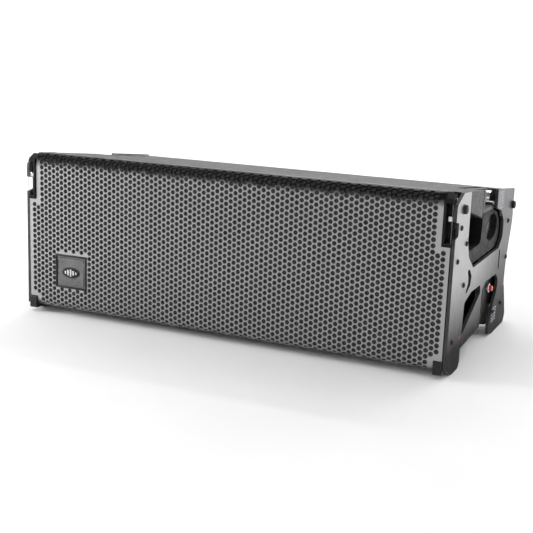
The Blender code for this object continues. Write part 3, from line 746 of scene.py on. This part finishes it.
def build_receiver_ribs(material):
    """Upright ribs on the outer face of each rear link receiver."""
    for side, sign in SIDES:
        low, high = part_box("link_receiver_" + side)
        wall = sign * (max(abs(low.x), abs(high.x)) - 0.0004)
        bm = bmesh.new()
        for i in range(5):
            depth = 0.2495 + 0.0115 * i
            half_round(bm, (wall, at(depth), 0.0510), (wall, at(depth), 0.1150), (sign, 0, 0), 0.0030)
        new_piece("receiver_ribs_" + side, bm, material)


def build_channel_bars(material):
    """A bright stop bar across each link channel, in front of the link."""
    for side, sign in SIDES:
        low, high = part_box("link_channel_" + side)
        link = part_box("rear_link_" + side)[0].y
        outer = max(abs(low.x), abs(high.x))
        inner = outer - 0.0230
        chamfer = 0.0006
        bm = bmesh.new()
        across, up = Vector((0, 1, 0)), Vector((0, 0, 1))
        rings = []
        for x, radius in ((inner, 0.0030 - chamfer), (inner + chamfer, 0.0030),
                          (outer - chamfer, 0.0030), (outer, 0.0030 - chamfer)):
            rings.append(ring(bm, Vector((sign * x, link - 0.0040, low.z + 0.0104)), across, up, radius, 20))
        skin(bm, rings)
        new_piece("channel_bar_" + side, bm, material)


def build_plunger_heads(material):
    """The square pull head on each front plunger."""
    for side, _ in SIDES:
        low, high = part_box("front_plunger_" + side)
        middle = (low + high) / 2
        half = 0.0042
        bm = bmesh.new()
        rounded_box(bm, (middle.x - half, low.y + 0.0002, middle.z - half),
                    (middle.x + half, low.y + 0.0050, middle.z + half), 0.0008)
        new_piece("plunger_head_" + side, bm, material, "front_plunger_" + side)


def build_frame_marks(red, pale):
    """Small round index dots on the frames, and plain angle ticks on the rear plate."""
    for side, sign in SIDES:
        face = sign * (PLATE_OUT - 0.0001)
        way = Vector((sign, 0, 0))
        bm = bmesh.new()
        for depth, height in INDEX_DOTS:
            centre = Vector((face, at(depth), height))
            rings = [ring(bm, centre + way * lift, Vector((0, 1, 0)), Vector((0, 0, 1)), radius, 16)
                     for radius, lift in ((0.0031, 0.0), (0.0031, 0.0003), (0.0026, 0.0005))]
            skin(bm, rings)
        new_piece("index_dots_" + side, bm, red)
        bm = bmesh.new()
        for depth, height, rows in TICK_BLOCKS:
            for i in range(rows):
                for column in range(3):
                    a = Vector((face, at(depth + 0.0130 * column), height - 0.0062 * i))
                    rounded_box(bm, (min(face, face + sign * 0.0004), a.y, a.z - 0.0012),
                                (max(face, face + sign * 0.0004), a.y + 0.0075, a.z + 0.0008), 0.0001, 1)
        new_piece("angle_ticks_" + side, bm, pale)


# Rear panel details


def build_panel_screws(material):
    low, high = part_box("amp_panel")
    face = high.y
    inset = 0.007
    bm = bmesh.new()
    spots = []
    for i in range(6):
        x = low.x + inset + (high.x - low.x - 2 * inset) * i / 5
        spots += [(x, low.z + inset), (x, high.z - inset)]
    spots += [(x, (low.z + high.z) / 2) for x in (low.x + inset, high.x - inset)]
    for x, z in spots:
        screw(bm, (x, face - 0.0001, z), (0, 1, 0), 0.0036, 0.0020, 18)
    for name in ("power_inlet", "power_outlet", "signal_input", "signal_output"):
        a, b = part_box(name)
        middle = (a + b) / 2
        reach = (b.x - a.x) / 2 + 0.0032
        for way in (-1, 1):
            screw(bm, (middle.x + way * reach * 0.72, face - 0.0001, middle.z - way * reach * 0.72),
                  (0, 1, 0), 0.0018, 0.0012, 12)
    new_piece("panel_screws", bm, material)


def build_dial_marks(material):
    """Plain tick marks round the level knob."""
    low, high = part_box("level_knob")
    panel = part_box("amp_panel")[1].y
    middle = (low + high) / 2
    bm = bmesh.new()
    for i in range(11):
        angle = math.radians(240 - 30 * i)
        way = Vector((-math.cos(angle), 0.0, math.sin(angle)))
        side = Vector((-way.z, 0.0, way.x)) * 0.00035
        inner = Vector((middle.x, panel - 0.0001, middle.z)) + way * 0.0112
        outer = inner + way * (0.0034 if i % 5 == 0 else 0.0022)
        lift = Vector((0, 0.0003, 0))
        base = [inner - side, inner + side, outer + side, outer - side]
        skin(bm, [[bm.verts.new(p) for p in base], [bm.verts.new(p + lift) for p in base]])
    new_piece("dial_marks", bm, material, smooth=False)


# Studio


def build_floor(material):
    """A pale floor that curves up all round, so that no horizon shows."""
    profile = [(0.0, 0.0), (1.5, 0.0), (3.0, 0.0), (4.2, 0.0)]
    curve = 1.6
    for i in range(1, 13):
        angle = i / 12 * math.pi / 2
        profile.append((4.2 + curve * math.sin(angle), curve * (1 - math.cos(angle))))
    profile.append((4.2 + curve, 4.5))
    bm = bmesh.new()
    steps = 64
    centre = bm.verts.new((0, 0, 0))
    before = None
    for radius, height in profile[1:]:
        turn = 2 * math.pi / steps
        current = [bm.verts.new((radius * math.cos(i * turn), radius * math.sin(i * turn), height))
                   for i in range(steps)]
        for i in range(steps):
            j = (i + 1) % steps
            if before:
                bm.faces.new((before[i], current[i], current[j], before[j]))
            else:
                bm.faces.new((centre, current[i], current[j]))
        before = current
    mesh = bpy.data.meshes.new("studio_floor")
    bm.to_mesh(mesh)
    bm.free()
    mesh.shade_smooth()
    mesh.materials.append(material)
    floor = bpy.data.objects.new("studio_floor", mesh)
    bpy.context.scene.collection.objects.link(floor)


def soft_light(name, place, target, size, power):
    light = bpy.data.lights.new(name, "AREA")
    light.shape = "RECTANGLE"
    light.size, light.size_y = size
    light.energy = power
    lamp = bpy.data.objects.new(name, light)
    lamp.location = place
    aim = Vector(target) - Vector(place)
    lamp.rotation_mode = "QUATERNION"
    lamp.rotation_quaternion = aim.to_track_quat("-Z", "Y")
    lamp.visible_camera = False
    bpy.context.scene.collection.objects.link(lamp)


def build_lights():
    """A key from the front left, a small fill, a light that rakes the right frame, and backdrop washes."""
    middle = (cad_low + cad_high) / 2
    soft_light("key", (-1.85, -1.05, 0.7), middle, (0.9, 0.7), 26)
    soft_light("fill", (2.4, -0.3, 0.9), (0.44, 0.05, 0.25), (0.9, 0.9), 3.5)
    soft_light("rear", (0.0, 2.6, 2.8), middle, (3.2, 1.4), 28)
    soft_light("side", (1.9, 4.2, 1.6), (0.44, 0.0, 0.28), (1.6, 1.2), 20)
    for i, power in enumerate((33, 46, 50, 50, 46, 36, 28, 26)):
        angle = i * math.pi / 4
        out = Vector((math.cos(angle), math.sin(angle), 0.0))
        soft_light("wash_%d" % i, out * 2.4 + Vector((0, 0, 3.4)), out * 4.6, (2.0, 0.5), power)
    world = bpy.data.worlds.new("studio")
    bpy.context.scene.world = world
    world.use_nodes = True
    background = world.node_tree.nodes["Background"]
    background.inputs["Color"].default_value = (1.0, 1.0, 1.0, 1.0)
    background.inputs["Strength"].default_value = 0.12


def build_camera():
    azimuth, elevation, roll = (math.radians(a) for a in (24.53, 12.52, 2.08))
    camera = bpy.data.cameras.new("camera")
    camera.lens = 70.3
    camera.sensor_width = 36.0
    camera.clip_start = 0.05
    camera.clip_end = 50.0
    holder = bpy.data.objects.new("camera", camera)
    aim = Matrix.Rotation(azimuth, 4, "Z") @ Matrix.Rotation(math.pi / 2 - elevation, 4, "X")
    holder.matrix_world = Matrix.Translation((0.868, -1.922, 0.573)) @ aim @ Matrix.Rotation(roll, 4, "Z")
    bpy.context.scene.collection.objects.link(holder)
    bpy.context.scene.camera = holder


def main():
    build_camera()
    build_lights()
    build_floor(pale_floor())
    bpy.context.scene.view_settings.view_transform = "Standard"

    paint = textured_paint()
    wood = plywood()
    coat = grille_coat_with_painted_shade(GRILLE_LOW.z + ROLL, GRILLE_HIGH.z - ROLL)
    foam = open_foam()
    plastic = moulded_plastic("black_plastic", 0.012, 0.42)
    lip = moulded_plastic("lip_plastic", 0.70, 0.35)
    guard_plastic = moulded_plastic("guard_plastic", 0.006, 0.5, specular=0.12)
    pocket_rib = moulded_plastic("pocket_rib", 0.09, 0.35)
    hollow = moulded_plastic("pocket_plastic", 0.008, 0.6, specular=0.12)
    tile = powder_coat("badge", 0.14, 0.30, 0.8)
    steel = satin_steel_with_painted_shade()
    cut_steel = powder_coat("cut_steel", 0.040, 0.5, 0.5)
    black_steel = blackened_steel()
    bright = bright_metal("bright_steel", 0.64, 0.25, (1.0, 6.0, 0.4))
    rubber = soft_grip()
    red = glossy("red_plastic", (0.78, 0.03, 0.02))
    paper = woven_paper()
    edge_rubber = moulded_plastic("surround_rubber", 0.016, 0.6)
    basket = powder_coat("driver_metal", 0.12, 0.5, 0.4)
    magnet = powder_coat("magnet", 0.11, 0.45, 0.8)
    anodised = powder_coat("amp_aluminium", 0.04, 0.38, 0.75, 0.00003)
    white_print = moulded_plastic("outlet_grey", 0.42, 0.4)
    tick_print = glossy("tick_print", (0.66, 0.70, 0.84), 0.45)

    dress("cabinet_shell", paint, 0.0016)
    for node in ("baffle_board", "brace_left", "brace_right"):
        dress(node, wood, 0.0010)
    dress("badge_plate", tile, 0.0004)
    dress("hf_waveguide", plastic, 0.0008)
    dress("circuit_board", circuit_green(), 0.0002)
    dress("power_transformer", copper_wire(), 0.0015)
    dress("amp_panel", anodised, 0.0004)
    dress("heatsink", anodised, 0.0004)
    dress("power_inlet", glossy("inlet_blue", (0.03, 0.11, 0.42), 0.35), 0.0003)
    dress("power_outlet", white_print, 0.0003)
    dress("status_lens", status_glow())
    for node in ("signal_input", "signal_output", "level_knob", "preset_button"):
        dress(node, plastic, 0.0003)
    dress("power_switch", plastic, 0.0006)
    for place_name in ("upper", "lower"):
        dress("compression_driver_" + place_name, magnet, 0.0010)
    for side, _ in SIDES:
        dress("corner_guard_" + side, guard_plastic, 0.0010)
        dress("corner_block_" + side, plastic, 0.0008)
        dress("side_cup_" + side, hollow, 0.0006)
        dress("link_receiver_" + side, plastic, 0.0014)
        dress("rigging_frame_" + side, steel, 0.0006, 2, cut_steel)
        dress("frame_bolt_front_" + side, black_steel, 0.0003)
        dress("frame_bolt_rear_" + side, black_steel, 0.0003)
        dress("link_channel_" + side, black_steel, 0.0008)
        dress("rear_link_" + side, bright, 0.0010)
        dress("front_link_" + side, bright, 0.0008)
        dress("release_pin_" + side, bright, 0.0003)
        dress("front_plunger_" + side, bright, 0.0002)
        dress("pin_button_" + side, red, 0.0004)
        dress("handle_grip_" + side, rubber, 0.0040, 3)
        dress("woofer_cone_" + side, paper)
        dress("woofer_surround_" + side, edge_rubber)
        dress("woofer_basket_" + side, basket)
        dress("woofer_magnet_" + side, magnet, 0.0010)

    build_grille(coat)
    build_foam(foam)
    build_badge(plastic, tile, bright)
    build_lips(steel, rubber)
    build_guard_ribs(lip, pocket_rib)
    build_frame_screws(black_steel)
    build_cup_ribs(pocket_rib)
    build_receiver_ribs(plastic)
    build_channel_bars(bright)
    build_plunger_heads(bright)
    build_frame_marks(red, tick_print)
    build_panel_screws(black_steel)
    build_dial_marks(white_print)


main()
